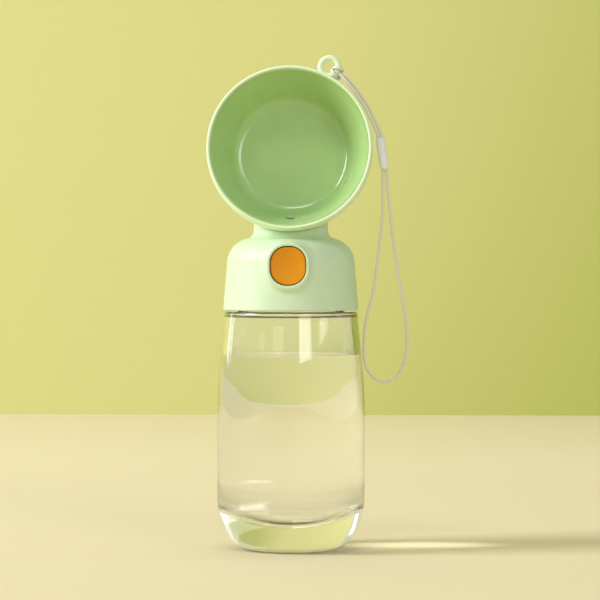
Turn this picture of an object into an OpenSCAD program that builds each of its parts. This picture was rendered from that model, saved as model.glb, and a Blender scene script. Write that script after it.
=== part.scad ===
// Dog travel water bottle: a clear bottle with a thick base, a screw lid with a push-button valve, a bowl
// that the water runs into, and a wrist lanyard. Millimetres. +Z is up, the front faces -Y, and the
// origin is at the centre of the foot.

/* [Bottle] */
// Largest outer radius of the bottle
body_r = 34.8; // [32:0.2:38]
// Radius of the flat foot
foot_r = 19; // [14:0.5:24]
// Height of the rounded lower corner
corner_h = 25; // [18:1:30]
// Height at which the sides start to lean in
lean_z = 76; // [60:1:80]
// Loss of radius for each millimetre of height above that
lean = 0.1; // [0.07:0.005:0.12]
// Softness of the change from straight to leaning sides
lean_blend = 8; // [2:1:16]
// Height of the shoulder that the lid meets
shoulder_z = 111.8; // [105:0.2:120]
// Radius of the shoulder's rounded edge
shoulder_fillet = 1; // [0.6:0.1:2]
// Wall of the bottle
body_wall = 3; // [2:0.1:4]
// Thickness of the shoulder
shoulder_t = 2.3; // [2:0.1:3.6]
// Radius of the corner under the shoulder, inside
inner_fillet = 0.6; // [0.4:0.1:3]
// Thickness of the solid base in its middle
base_t = 14.5; // [8:0.5:16]
// Height of the rounded floor inside
hollow_h = 18; // [14:1:26]

/* [Bottle neck and thread] */
// Height of the neck above the shoulder
neck_h = 9.2; // [8.6:0.2:10.4]
// Wall of the neck
neck_wall = 2.6; // [2:0.1:3.4]
// Rise of the thread in one turn
thread_pitch = 3.4; // [3.2:0.1:3.8]
// Turns of each thread
thread_turns = 1.25; // [1:0.05:1.4]
// Height of a thread's ridge above its wall
thread_depth = 1.3; // [1:0.1:1.6]
// Width of a ridge at its root
thread_root = 1.7; // [1.4:0.1:1.9]
// Width of a ridge at its crest
thread_crest = 1; // [0.6:0.1:1.2]
// Gap between a crest and the wall that it faces
thread_gap = 0.4; // [0.3:0.05:0.6]

/* [Mouth seal] */
// Thickness of the flat ring on the bottle's mouth
seal_t = 1.2; // [0.8:0.1:1.8]
// Width of the ring
seal_w = 3.4; // [2.6:0.1:3.8]

/* [Lid shell] */
// How far the lid's lower edge stands out past the shoulder
lid_overhang = 0.65; // [0.2:0.05:1.2]
// Gap between the lid's lower edge and the shoulder
lid_gap = 0.7; // [0.4:0.1:1.2]
// Wall of the shell
lid_wall = 1.8; // [1.4:0.1:2.2]
// Lean of the lid's side in degrees
lid_lean = 4.8; // [2:0.2:7]
// Height of the lid's side under its rounded edge
lid_side_h = 21.8; // [20.6:0.2:24]
// Radius of the lid's rounded edge
dome_fillet = 12; // [10:0.5:13]
// Rounding of the lid's lower edge
lid_edge = 0.6; // [0.2:0.1:0.8]
// Thickness of the ledge that the inner cap stops against
ledge_t = 1.2; // [0.8:0.1:2]

/* [Lid neck] */
// Outer radius of the neck that carries the bowl
spout_r = 17.4; // [16.4:0.2:18.4]
// Radius of the hollow between the dome and the neck
spout_fillet = 4; // [2:0.5:6]
// Height of the neck's straight side
spout_h = 8; // [5:0.5:12]
// Height of the neck's rounded top
spout_cap_h = 12; // [8:0.5:15]

/* [Inner cap] */
// Wall of the threaded skirt
insert_wall = 2; // [1.5:0.1:2.5]
// Gap between the inner cap and the shell
insert_gap = 0.8; // [0.4:0.1:1.2]
// Thickness of the top plate
plate_t = 1.7; // [1.4:0.1:2.2]
// Radius of the valve's seat
seat_r = 4.2; // [3.4:0.1:5]
// Distance of the valve behind the bottle's axis
valve_y = 5; // [4.6:0.1:6]

/* [Valve] */
// Radius of the stem
stem_r = 1.6; // [1.3:0.05:1.8]
// Travel of the valve and of the button
travel = 3; // [2:0.1:3]
// Radius of the soft plug
plug_r = 6.2; // [5.6:0.1:7]
// Thickness of the soft plug
plug_t = 2.4; // [1.8:0.1:3]
// Radius of the clip under the plug
clip_r = 3; // [2.4:0.1:4]
// Thickness of the clip
clip_t = 1; // [0.8:0.1:1.6]
// Free height of the stem's spring
valve_spring_h = 6.5; // [5.6:0.1:8]
// Half the width of the stem's wedge head
head_half = 3.5; // [3:0.1:4]
// Wire of both springs
wire_d = 0.5; // [0.4:0.05:0.6]
// Section of the stem's O-ring
oring_d = 1.2; // [1:0.05:1.3]

/* [Valve housing] */
// Distance of the outlet in front of the bottle's axis
duct_y = 9; // [8.4:0.1:9.6]
// Outer radius of the chamber's round ends
chamber_r = 7; // [6.6:0.1:7.4]
// Wall of the chamber
chamber_wall = 1.5; // [1.2:0.1:1.8]
// Height of the housing
chamber_h = 6.2; // [5.8:0.1:6.4]
// Thickness of the housing's flange
flange_t = 1.5; // [1.2:0.1:2]
// Width of the flange round the chamber
flange_w = 2.5; // [2:0.1:3]
// Thickness of the gasket under the flange
gasket_t = 0.8; // [0.5:0.1:1]
// Distance of each screw from the chamber's outer wall
screw_offset = 4.2; // [3.8:0.1:5]
// Radius of a screw's shank
screw_r = 1.1; // [0.9:0.05:1.3]
// Length of a screw's shank
screw_l = 6; // [5:0.2:6.4]
// Bore of the outlet
outlet_r = 2.4; // [2:0.1:2.8]
// Wall of the outlet stub and of the bowl's nipple
outlet_wall = 0.9; // [0.7:0.1:1.1]
// Height of the outlet stub
stub_h = 5; // [3:0.5:6]
// Wall of the soft duct
duct_wall = 1.1; // [0.8:0.1:1.3]
// Length of the bowl's nipple inside the duct
nipple_l = 5; // [3:0.5:6]

/* [Button] */
// Width of the button
button_w = 16.2; // [15:0.1:17]
// Height of the button
button_h = 17.6; // [16.6:0.1:18.6]
// Radius of the button's corners
button_corner = 7.4; // [5:0.1:7.4]
// Height of the button's centre above the lid's lower edge
button_lift = 20.9; // [20.7:0.1:22]
// How far the button's face stands out past the lid's side
button_out = 1.5; // [1:0.1:2.3]
// Depth of the button's cap
button_depth = 6; // [5.6:0.1:6.2]
// Thickness of the cap's face
button_face_t = 1.6; // [1.2:0.1:2]
// Wall of the cap's side
button_wall = 1.3; // [1:0.1:1.6]
// Gap round the button
button_gap = 0.35; // [0.3:0.05:0.5]
// Wall of the boss round the button
boss_wall = 1.45; // [1.2:0.05:1.8]
// How far the boss stands in front of the button's face
boss_proud = 0.4; // [0:0.1:1]
// Depth of the carrier's plug inside the cap
carrier_plug = 3; // [2:0.1:4]
// Thickness of the carrier's plate
carrier_t = 1.3; // [1:0.1:1.6]
// How far each ear of the plate reaches past the button
ear_w = 1.55; // [1:0.05:1.6]
// Half the height of each ear
ear_half = 4; // [3:0.1:4]
// Radius of the carrier's two arms
arm_r = 1.6; // [1.3:0.05:1.7]
// Distance of each arm from the middle
arm_x = 7.2; // [7:0.1:7.6]
// Thickness of the guide plate that the arms slide in
guide_t = 2.2; // [1.6:0.1:2.6]
// Thickness of the bar that joins the arms
bar_t = 2.3; // [1.8:0.1:2.6]
// Half the width of the bar's wedge
wedge_half = 3; // [2:0.1:3.4]
// Mean radius of both springs
spring_r = 2.4; // [2.3:0.05:2.6]

/* [Bowl] */
// Outer radius of the bowl
bowl_r = 38.7; // [36:0.1:41]
// Outer depth of the bowl
bowl_depth = 31; // [30:0.2:34]
// Width of the rounded edge of the bowl's back
bowl_fillet = 20; // [16:0.5:22]
// Depth of the rounded edge of the bowl's back
bowl_round = 26; // [20:0.5:26]
// Wall of the bowl
bowl_wall = 1.7; // [1.3:0.1:2]
// How far the bowl's opening tilts up, in degrees
bowl_tilt = 8.2; // [4:0.2:12]
// Distance of the opening's centre in front of the bottle's axis
bowl_front = 20; // [18:0.2:21]
// How far the bowl's widest line lies below the top of the neck's hollow
bowl_sink = -0.3; // [-0.5:0.1:1]
// Width of the rounded lip
lip_t = 1.5; // [1.3:0.1:1.8]
// How much smaller the lip's radius is than the bowl's
lip_flare = 0.3; // [0.3:0.1:1]
// Depth over which the side widens from the lip to the full radius
lip_len = 5; // [4:0.5:7]
// Length of the collar that plugs into the lid's neck
collar_l = 5; // [3:0.5:6]

/* [Bowl liner] */
// Room between the liner's floor and the bowl's
liner_gap = 2.6; // [1.6:0.1:4]
// How far the liner's flat floor ends inside the bowl's side
liner_draw = 16.2; // [14.7:0.1:20]
// Radius of the rounded corner of the liner's floor
liner_fillet = 6.5; // [4:0.5:8]
// Wall of the liner
liner_wall = 1.2; // [1:0.1:1.5]
// Thickness of the liner at its rim
liner_edge = 0.45; // [0.4:0.05:0.7]
// How far the liner's rim lies behind the lip
liner_recess = 0.5; // [0.3:0.1:1]
// Depth of the liner's straight rim, below which its wall slants in
liner_land = 2; // [1:0.1:2.4]
// Radius of the ring that the liner's back rests on
rest_r = 13; // [10:0.5:16]

/* [Lanyard] */
// Angle of the eye from the top of the bowl, in degrees
eye_angle = 25; // [15:1:35]
// Distance of the eye's centre from the bowl's side
eye_lift = 4.5; // [4.1:0.1:4.7]
// Distance of the eye behind the opening
eye_back = 8; // [7:0.5:10]
// Mean radius of the eye's ring
eye_ring = 4.2; // [4:0.1:4.6]
// Section of the eye's ring
eye_d = 2.8; // [2.4:0.1:3]
// Where the hitch sits round the eye, in degrees
hitch_angle = -11; // [-30:1:10]
// Diameter of the cord
cord_d = 1.4; // [1.2:0.1:1.5]
// Length of the bead
bead_l = 14.8; // [12:0.2:16]
// Diameter of the bead
bead_d = 4.3; // [4.2:0.1:4.8]

/* [Fits] */
// Gap of pieces that are pushed together
fit = 0.05; // [0.03:0.01:0.08]
// Gap of pieces that move past each other
run = 0.3; // [0.2:0.05:0.35]

/* [Hidden] */
$fn = 96;

MINT = [0.88, 0.97, 0.78];
GREEN = [0.62, 0.78, 0.5];
ORANGE = [0.9, 0.55, 0.12];
CLEAR = [0.85, 0.9, 0.8, 0.4];
WHITE = [0.93, 0.93, 0.9];
SILICONE = [0.85, 0.87, 0.86];
STEEL = [0.7, 0.71, 0.72];
CORD = [0.86, 0.84, 0.76];

ARC = 6; // degrees between the points of an arc

// Heights, from the shoulder up
mouth_z = shoulder_z + neck_h;
lid_z = shoulder_z + lid_gap;
plate_z0 = mouth_z + seal_t + 2 * fit;
plate_z = plate_z0 + plate_t;
housing_z = plate_z + gasket_t;
housing_top = housing_z + chamber_h;
button_z = lid_z + button_lift;
head_z = housing_top + valve_spring_h;

// Radii, from the bottle's shoulder to its neck
function body_radius(z) = let (t = z - lean_z)
    body_r - lean * (t + sqrt(t * t + lean_blend * lean_blend)) / 2;
lid_r = body_radius(shoulder_z) + lid_overhang;
function lid_radius(z, inset) = lid_r - inset / cos(lid_lean) - tan(lid_lean) * (z - lid_z);
insert_r = lid_radius(plate_z, lid_wall) - insert_gap;
skirt_r = insert_r - insert_wall;
neck_r = skirt_r - thread_gap - thread_depth;
mouth_r = neck_r - neck_wall;

// The lid's rounded edge and the hollow above it
dome_r = lid_r - tan(lid_lean) * (lid_side_h + dome_fillet * sin(lid_lean)) - dome_fillet * cos(lid_lean);
dome_z = lid_z + lid_side_h;
hollow_r = spout_r + spout_fillet;
hollow_z = dome_z + sqrt((dome_fillet + spout_fillet) ^ 2 - (hollow_r - dome_r) ^ 2);
hollow_angle = atan2(hollow_z - dome_z, hollow_r - dome_r);

// The bowl's frame and its radii
bowl_z = hollow_z - bowl_sink + bowl_r * cos(bowl_tilt);
lip_r = bowl_r - lip_flare;
liner_depth = bowl_depth - bowl_wall - liner_wall - liner_gap;
liner_r = lip_r - lip_t - fit;
liner_floor = bowl_r - liner_draw;
eye_r = bowl_r + eye_lift;

// Angle at which the liner's slanted wall meets its corner of radius r, where the wall starts at radius rim
function liner_slant(rim, r) = let (
    x = rim - liner_floor,
    y = liner_depth - liner_fillet - liner_recess - liner_land) atan2(y, x) - acos(r / norm([x, y]));

// The valve and the button
stub_r = outlet_r + outlet_wall;
duct_ri = stub_r + fit;
duct_r = duct_ri + duct_wall;
duct_top = hollow_z - 3.1;
guide_y = -duct_y - duct_r - 0.5 - guide_t;
button_front = lid_radius(button_z, 0) + button_out;
carrier_y = button_depth - button_front;
bar_y = -duct_y + duct_r + run;
head_y = valve_y - head_half;
wedge_z = head_z + 1;
wedge_top = head_z + 5;

// An arc's points round [x, y], from angle a to angle b
function arc(x, y, r, a, b) = let (n = max(2, ceil(abs(b - a) / ARC)))
    [for (i = [0:n]) [x + r * cos(a + (b - a) * i / n), y + r * sin(a + (b - a) * i / n)]];

// A quarter ellipse's points from angle a to angle b
function oval(x, y, rx, ry, a, b) = let (n = max(2, ceil(abs(b - a) / ARC)))
    [for (i = [0:n]) [x + rx * cos(a + (b - a) * i / n), y + ry * sin(a + (b - a) * i / n)]];

// Faces of a closed tube through n rings of m points each
function tube_faces(n, m) = concat(
    [[for (j = [0:m - 1]) j]],
    [for (i = [0:n - 2], j = [0:m - 1]) [i * m + j, (i + 1) * m + (j + 1) % m, i * m + (j + 1) % m]],
    [for (i = [0:n - 2], j = [0:m - 1]) [i * m + j, (i + 1) * m + j, (i + 1) * m + (j + 1) % m]],
    [[for (j = [m - 1:-1:0]) (n - 1) * m + j]]);

function unit(v) = v / norm(v);

// Direction of a path at its point i
function heading(p, i) = unit(p[min(i + 1, len(p) - 1)] - p[max(i - 1, 0)]);

// A round tube along the points p. It never runs along the vector up.
module tube(p, r, sides, up) {
    rings = [for (i = [0:len(p) - 1])
        let (h = heading(p, i), u = unit(cross(up, h)), v = cross(h, u))
        for (j = [0:sides - 1]) p[i] + r * (cos(360 * j / sides) * u + sin(360 * j / sides) * v)];
    polyhedron(rings, tube_faces(len(p), sides), convexity = 6);
}

// A screw ridge on a round wall: root and crest are radii, and z0 is the height at angle a0
module thread(root, crest, z0, a0) {
    steps = ceil(thread_turns * 36);
    side = root < crest ? 1 : -1;
    rings = [for (i = [0:steps])
        let (turn = thread_turns * i / steps,
            a = a0 + 360 * turn,
            z = z0 + thread_pitch * turn,
            grow = min(1, min(i, steps - i) / 4 + 0.25),
            rc = root + (crest - root) * grow,
            half = [thread_root / 2, thread_crest / 2])
        for (q = [[root - side * 0.3, -half[0]], [rc, -half[1]], [rc, half[1]], [root - side * 0.3, half[0]]])
            [q[0] * cos(a), q[0] * sin(a), z + q[1]]];
    m = 4;
    faces = tube_faces(steps + 1, m);
    polyhedron(rings, side > 0 ? [for (f = faces) [for (k = [len(f) - 1:-1:0]) f[k]]] : faces, convexity = 6);
}

// Outline of a box with round corners
module pill(w, h, r) {
    square([w - 2 * r, h], center = true);
    square([w, h - 2 * r], center = true);
    for (x = [-1, 1], y = [-1, 1])
        translate([x * (w / 2 - r), y * (h / 2 - r)]) circle(r);
}

// The button's outline, grown by g
module button_outline(g) {
    pill(button_w + 2 * g, button_h + 2 * g, button_corner + g);
}

// Extrudes an outline in X and Z along Y, from y0 to y1, at the button's height
module along_y(y0, y1) {
    translate([0, y1, button_z]) rotate([90, 0, 0]) linear_extrude(y1 - y0) children();
}

// Outline round the valve and the outlet with ends of radius r
module chamber_outline(r) {
    translate([0, valve_y]) circle(r);
    translate([0, -duct_y]) circle(r);
    translate([-r, -duct_y]) square([2 * r, duct_y + valve_y]);
}

// Places its children at the three screws
module at_screws() {
    reach = chamber_r + screw_offset;
    for (p = [[-reach, (valve_y - duct_y) / 2], [reach, (valve_y - duct_y) / 2], [0, valve_y + reach]])
        translate([p[0], p[1], 0]) children();
}

// The bowl's own frame: its z axis points out of the opening, and its y axis points up
module in_bowl() {
    translate([0, -bowl_front, bowl_z]) rotate([90 - bowl_tilt, 0, 0]) children();
}

// The eye's centre in the bowl's frame
module at_eye() {
    translate([eye_r * sin(eye_angle), eye_r * cos(eye_angle), -eye_back]) children();
}

// The lid's dome and neck as a solid, with its surface moved in by inset
module lid_solid(inset, z0) {
    rotate_extrude() polygon(concat(
        [[0, z0]],
        inset > 0 ? [[lid_radius(z0, inset), z0]]
            : [[lid_r - lid_edge, z0], [lid_radius(z0 + lid_edge, 0), z0 + lid_edge]],
        arc(dome_r, dome_z, dome_fillet - inset, lid_lean, hollow_angle),
        arc(hollow_r, hollow_z, spout_fillet + inset, 180 + hollow_angle, 180),
        oval(0, hollow_z + spout_h, spout_r - inset, spout_cap_h - inset, 0, 90)));
}

// The bowl as a solid body, grown by g
module bowl_solid(g) {
    in_bowl() rotate_extrude() polygon(concat(
        [[0, g], [lip_r - lip_t / 2, g]],
        [[lip_r + g, -lip_t / 2], [bowl_r + g, -lip_len]],
        oval(bowl_r - bowl_fillet, bowl_round - bowl_depth, bowl_fillet + g, bowl_round + g, 0, -90),
        [[0, -bowl_depth - g]]));
}

// The space inside the liner as a solid
module liner_space() {
    rim = liner_r - liner_edge;
    in_bowl() rotate_extrude() polygon(concat(
        [[0, 1], [rim, 1], [rim, -liner_recess - liner_land]],
        arc(liner_floor, liner_fillet - liner_depth, liner_fillet, liner_slant(rim, liner_fillet), -90),
        [[0, -liner_depth]]));
}

module bottle_body() {
    inner_shoulder = shoulder_z - shoulder_t;
    arc_r = body_radius(shoulder_z - shoulder_fillet) - shoulder_fillet;
    inner_arc_r = body_radius(inner_shoulder - inner_fillet) - body_wall - inner_fillet;
    hollow_top = base_t + hollow_h;
    color(CLEAR) union() {
        rotate_extrude() polygon(concat(
            [[0, 0]],
            oval(foot_r, corner_h, body_radius(corner_h) - foot_r, corner_h, -90, 0),
            [for (z = [corner_h + 5:5:shoulder_z - shoulder_fillet - 2]) [body_radius(z), z]],
            arc(arc_r, shoulder_z - shoulder_fillet, shoulder_fillet, 0, 90),
            [[neck_r, shoulder_z], [neck_r, mouth_z - 0.4], [neck_r - 0.4, mouth_z],
                [mouth_r + 0.4, mouth_z], [mouth_r, mouth_z - 0.4], [mouth_r, inner_shoulder]],
            arc(inner_arc_r, inner_shoulder - inner_fillet, inner_fillet, 90, 0),
            [for (z = [shoulder_z - shoulder_fillet - 6:-5:hollow_top + 2]) [body_radius(z) - body_wall, z]],
            oval(0, hollow_top, body_radius(hollow_top) - body_wall, hollow_h, 0, -90)));
        thread(neck_r, neck_r + thread_depth, lid_z + 1.8, 0);
    }
}

module mouth_seal() {
    outer = neck_r + thread_depth - run;
    color(SILICONE) translate([0, 0, mouth_z + fit]) difference() {
        cylinder(r = outer, h = seal_t);
        translate([0, 0, -1]) cylinder(r = outer - seal_w, h = seal_t + 2);
    }
}

module thread_insert() {
    flange_z = lid_z + 0.8;
    color(WHITE) union() {
        difference() {
            union() {
                translate([0, 0, flange_z]) cylinder(r = insert_r, h = plate_z - flange_z);
                translate([0, 0, flange_z])
                    cylinder(r = lid_radius(flange_z + 1.2, lid_wall) - fit, h = 1.2);
            }
            translate([0, 0, flange_z - 1]) cylinder(r = skirt_r, h = plate_z0 - flange_z + 1);
            translate([0, valve_y, plate_z0 - 1]) cylinder(r = seat_r, h = plate_t + 2);
            at_screws() translate([0, 0, plate_z0 - 1]) cylinder(r = screw_r + fit, h = plate_t + 2);
        }
        at_screws() translate([0, 0, plate_z0 - 3]) difference() {
            cylinder(r = screw_r + 1.4, h = 3.2);
            translate([0, 0, 0.6]) cylinder(r = screw_r + fit, h = 3);
        }
        thread(skirt_r, neck_r + thread_gap, lid_z + 1.8, -180);
    }
}

module lid_shell() {
    color(MINT) difference() {
        union() {
            difference() {
                lid_solid(0, lid_z);
                lid_solid(lid_wall, lid_z - 1);
            }
            difference() {
                along_y(-button_front - boss_proud, -20) button_outline(button_gap + boss_wall);
                lid_solid(lid_wall, lid_z - 1);
            }
            along_y(-button_front - boss_proud, carrier_y - 0.1) button_outline(button_gap + boss_wall);
            translate([0, 0, plate_z]) difference() {
                cylinder(r = lid_radius(plate_z + ledge_t, lid_wall) + 0.5, h = ledge_t);
                translate([0, 0, -1]) cylinder(r = insert_r - 2.5, h = ledge_t + 2);
            }
        }
        along_y(-button_front - boss_proud - 1, carrier_y + carrier_t + travel + run)
            button_outline(button_gap);
        translate([0, 0, lid_z - 1]) cylinder(r = insert_r + fit, h = plate_z - lid_z + 1);
        bowl_solid(fit);
    }
}

module valve_housing() {
    ceiling = housing_top - chamber_wall;
    guide_top = button_z + arm_r + 1.4;
    color(WHITE) difference() {
        union() {
            translate([0, 0, housing_z]) linear_extrude(chamber_h) chamber_outline(chamber_r);
            translate([0, 0, housing_z]) linear_extrude(flange_t) chamber_outline(chamber_r + flange_w);
            at_screws() translate([0, 0, housing_z]) cylinder(r = screw_r + 2, h = flange_t);
            translate([0, -duct_y, housing_top - 0.5]) cylinder(r = stub_r, h = stub_h + 0.5);
            translate([-arm_x - arm_r - 1.4, guide_y, housing_z])
                cube([2 * (arm_x + arm_r + 1.4), guide_t, guide_top - housing_z]);
            translate([0, guide_y + 0.5, button_z]) rotate([90, 0, 0]) cylinder(r = 1.5, h = 3.5);
        }
        difference() {
            translate([0, 0, housing_z - 1])
                linear_extrude(ceiling - housing_z + 1) chamber_outline(chamber_r - chamber_wall);
            translate([0, valve_y, ceiling - 2.6]) cylinder(r = stem_r + 2, h = 4);
        }
        translate([0, valve_y, housing_z]) cylinder(r = stem_r + fit, h = chamber_h + 2);
        translate([0, valve_y, ceiling - 2]) cylinder(r = stem_r + oring_d + fit, h = oring_d + 0.3);
        translate([0, -duct_y, housing_z]) cylinder(r = outlet_r, h = chamber_h + stub_h + 2);
        at_screws() translate([0, 0, housing_z - 1]) cylinder(r = screw_r + 0.2, h = flange_t + 2);
        for (x = [-arm_x, arm_x])
            translate([x, guide_y + guide_t + 1, button_z]) rotate([90, 0, 0])
                cylinder(r = arm_r + fit, h = guide_t + 2);
    }
}

module housing_gasket() {
    color(SILICONE) translate([0, 0, plate_z]) linear_extrude(gasket_t) difference() {
        chamber_outline(chamber_r + 1);
        chamber_outline(chamber_r - chamber_wall);
    }
}

module housing_screws() {
    seat = housing_z + flange_t;
    color(STEEL) at_screws() difference() {
        union() {
            translate([0, 0, seat - screw_l]) cylinder(r = screw_r, h = screw_l + 0.5);
            translate([0, 0, seat]) cylinder(r = screw_r + 1, h = 1.4);
        }
        translate([0, 0, seat + 1]) for (a = [0, 90]) rotate([0, 0, a])
            cube([2.2, 0.5, 1.6], center = true);
    }
}

module water_duct() {
    color(SILICONE) translate([0, -duct_y, housing_top + fit]) difference() {
        cylinder(r = duct_r, h = duct_top - housing_top - fit);
        translate([0, 0, -1]) cylinder(r = duct_ri, h = duct_top - housing_top + 2);
    }
}

module valve_stem() {
    low = plate_z0 - 2 * fit - plug_t - clip_t - 0.4;
    color(WHITE) union() {
        translate([0, valve_y, low]) cylinder(r = stem_r, h = head_z - low + 0.5);
        translate([-head_half, 0, 0]) rotate([90, 0, 90]) linear_extrude(2 * head_half)
            polygon([[head_y, head_z], [head_y + 2 * head_half, head_z],
                [head_y + 2 * head_half, wedge_top + 0.5], [head_y + wedge_top + 0.5 - wedge_z, wedge_top + 0.5],
                [head_y, wedge_z]]);
    }
}

module valve_plug() {
    top = plate_z0 - 2 * fit;
    color(SILICONE) translate([0, valve_y, 0]) difference() {
        union() {
            translate([0, 0, top - plug_t]) cylinder(r = plug_r, h = plug_t);
            translate([0, 0, top - 0.1]) cylinder(r1 = seat_r - 0.2, r2 = seat_r - 1.2, h = 1.2);
        }
        translate([0, 0, top - plug_t - 1]) cylinder(r = stem_r + fit, h = plug_t + 4);
    }
}

module plug_retainer() {
    top = plate_z0 - 2 * fit - plug_t;
    color(WHITE) translate([0, valve_y, top - clip_t]) difference() {
        cylinder(r = clip_r, h = clip_t);
        translate([0, 0, -1]) cylinder(r = stem_r + fit, h = clip_t + 2);
    }
}

module stem_seal() {
    mid = housing_top - chamber_wall - 2 + (oring_d + 0.3) / 2;
    color(SILICONE) translate([0, valve_y, mid]) rotate_extrude()
        translate([stem_r + fit + oring_d / 2, 0]) circle(d = oring_d - 0.02);
}

// A coil spring from z = 0 to z = h round the z axis
module spring(h, turns) {
    steps = turns * 12;
    rise = h - wire_d - 0.02;
    tube([for (i = [0:steps]) [spring_r * cos(30 * i), spring_r * sin(30 * i),
        (wire_d + 0.02) / 2 + rise * i / steps]], wire_d / 2, 6, [0, 0, 1]);
}

module valve_spring() {
    color(STEEL) translate([0, valve_y, housing_top]) spring(valve_spring_h, 5);
}

module button_spring() {
    start = carrier_y + carrier_t;
    color(STEEL) translate([0, guide_y, button_z]) rotate([90, 0, 0]) spring(guide_y - start, 6);
}

module button_cap() {
    color(ORANGE) difference() {
        along_y(-button_front, carrier_y) button_outline(0);
        along_y(button_face_t - button_front, carrier_y + 1) button_outline(-button_wall);
    }
}

module button_slide() {
    plate_back = carrier_y + carrier_t;
    bar_back = bar_y + bar_t;
    nose = wedge_z - 0.4;
    contact = wedge_z - head_y + 0.14;
    color(WHITE) union() {
        along_y(carrier_y - carrier_plug, carrier_y + 0.2) button_outline(-button_wall - fit);
        along_y(carrier_y, plate_back) {
            button_outline(-button_wall);
            square([button_w + 2 * ear_w, 2 * ear_half], center = true);
        }
        for (x = [-arm_x, arm_x])
            translate([x, bar_y + 1, button_z]) rotate([90, 0, 0])
                cylinder(r = arm_r, h = bar_y + 1 - plate_back + 0.5);
        translate([-arm_x - arm_r, bar_y, button_z - arm_r]) cube([2 * (arm_x + arm_r), bar_t, 2 * arm_r]);
        translate([-wedge_half, 0, 0]) rotate([90, 0, 90]) linear_extrude(2 * wedge_half)
            polygon([[bar_y, button_z], [bar_back, button_z], [bar_back, nose], [nose - contact, nose],
                [wedge_top - contact, wedge_top], [bar_y, wedge_top]]);
    }
}

module bowl_shell() {
    edge = bowl_r - bowl_fillet;
    color(MINT) difference() {
        union() {
            in_bowl() {
                rotate_extrude() polygon(concat(
                    [[lip_r - lip_t, -lip_len + 2]],
                    arc(lip_r - lip_t / 2, -lip_t / 2, lip_t / 2, 180, 0),
                    oval(edge, bowl_round - bowl_depth, bowl_fillet, bowl_round, 0, -90),
                    [[0, -bowl_depth], [0, bowl_wall - bowl_depth]],
                    oval(edge, bowl_round - bowl_depth, bowl_fillet - bowl_wall, bowl_round - bowl_wall, -90, 0)));
                rotate_extrude() translate([rest_r, -bowl_depth + bowl_wall - 0.5])
                    square([1.5, bowl_depth - bowl_wall + 0.5 - liner_depth - liner_wall]);
                at_eye() rotate_extrude() translate([eye_ring, 0]) circle(d = eye_d);
            }
            difference() {
                translate([0, 0, hollow_z - collar_l]) cylinder(r = spout_r - lid_wall - fit, h = collar_l + 6);
                translate([0, 0, hollow_z - collar_l - 1])
                    cylinder(r = spout_r - lid_wall - fit - 1.5, h = collar_l + 8);
                bowl_solid(-0.5);
            }
        }
        translate([0, -duct_y, duct_top - 4]) cylinder(r = stub_r + 0.5, h = bowl_z - duct_top);
    }
}

module bowl_liner() {
    rim = liner_r - liner_edge;
    low = -liner_recess - liner_land;
    outer = liner_fillet + liner_wall;
    nipple_z = duct_top - nipple_l;
    color(GREEN) difference() {
        union() {
            in_bowl() rotate_extrude() polygon(concat(
                [[0, -liner_depth], [0, -liner_depth - liner_wall]],
                arc(liner_floor, liner_fillet - liner_depth, outer, -90, liner_slant(liner_r, outer)),
                [[liner_r, low], [liner_r, -liner_recess], [rim, -liner_recess], [rim, low]],
                arc(liner_floor, liner_fillet - liner_depth, liner_fillet, liner_slant(rim, liner_fillet), -90)));
            difference() {
                translate([0, -duct_y, nipple_z]) cylinder(r = stub_r, h = bowl_z - nipple_z);
                liner_space();
            }
        }
        translate([0, -duct_y, nipple_z - 1]) cylinder(r = outlet_r, h = bowl_z - nipple_z);
    }
}

// The cord's way: down from the hitch, through the bead, round the loop and back up
bead_top = [41.9, -9, 193];
bead_end = [44, -9, 178.4];
CORD_ROUTE = [
    [23.4, -8.6, 222.4], [25.6, -9.2, 220], [30, -9.6, 214.4], [34.7, -9.6, 207.5], [38.2, -9.4, 200.4],
    [40.4, -9.1, 195.8], [41.1, -9, 192.9], [42.2, -9, 185.6], [43.2, -9, 178.3], [43.2, -9, 172],
    [43.2, -9, 162], [42.8, -9, 152], [41.6, -9, 142], [40.4, -9, 132], [38.8, -9, 121], [36.7, -9, 113],
    [35.1, -9, 105], [34.5, -9, 97], [34.7, -9, 90], [36.1, -9, 85], [39.4, -9, 81], [43.9, -9, 79.1],
    [48.1, -9, 80.2], [51.1, -9, 83.3], [53.2, -9, 87.8], [54.4, -9, 94], [54.6, -9, 102], [53.8, -9, 110],
    [52.2, -9, 119], [50.6, -9, 128], [49.2, -9, 138], [47.8, -9, 148], [46.7, -9, 158], [45.6, -9, 168],
    [44.8, -9, 178.5], [43.8, -9, 185.8], [42.7, -9, 193.1], [41.8, -8.9, 196.4], [39.8, -8.4, 200.9],
    [36.2, -8.2, 208.2], [31.2, -8.1, 215.4], [26.8, -7.8, 220.9], [24.8, -7.3, 223]];

// A smooth line through the points of p, with one point more between each two
function smooth(p) = [for (i = [0:2 * len(p) - 2])
    let (k = floor(i / 2))
    i % 2 == 0 ? p[k] : (9 * (p[k] + p[k + 1]) - p[max(k - 1, 0)] - p[min(k + 2, len(p) - 1)]) / 16];

module lanyard_cord() {
    color(CORD) tube(smooth(CORD_ROUTE), cord_d / 2, 8, [0, 1, 0]);
}

module lanyard_hitch() {
    wrap = 2 * cord_d / eye_ring * 180 / PI;
    color(CORD) in_bowl() at_eye() rotate([0, 0, hitch_angle - wrap / 2]) rotate_extrude(angle = wrap)
        translate([eye_ring, 0]) difference() {
            circle(d = eye_d + 2 * cord_d);
            circle(d = eye_d + 2 * fit);
        }
}

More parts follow.
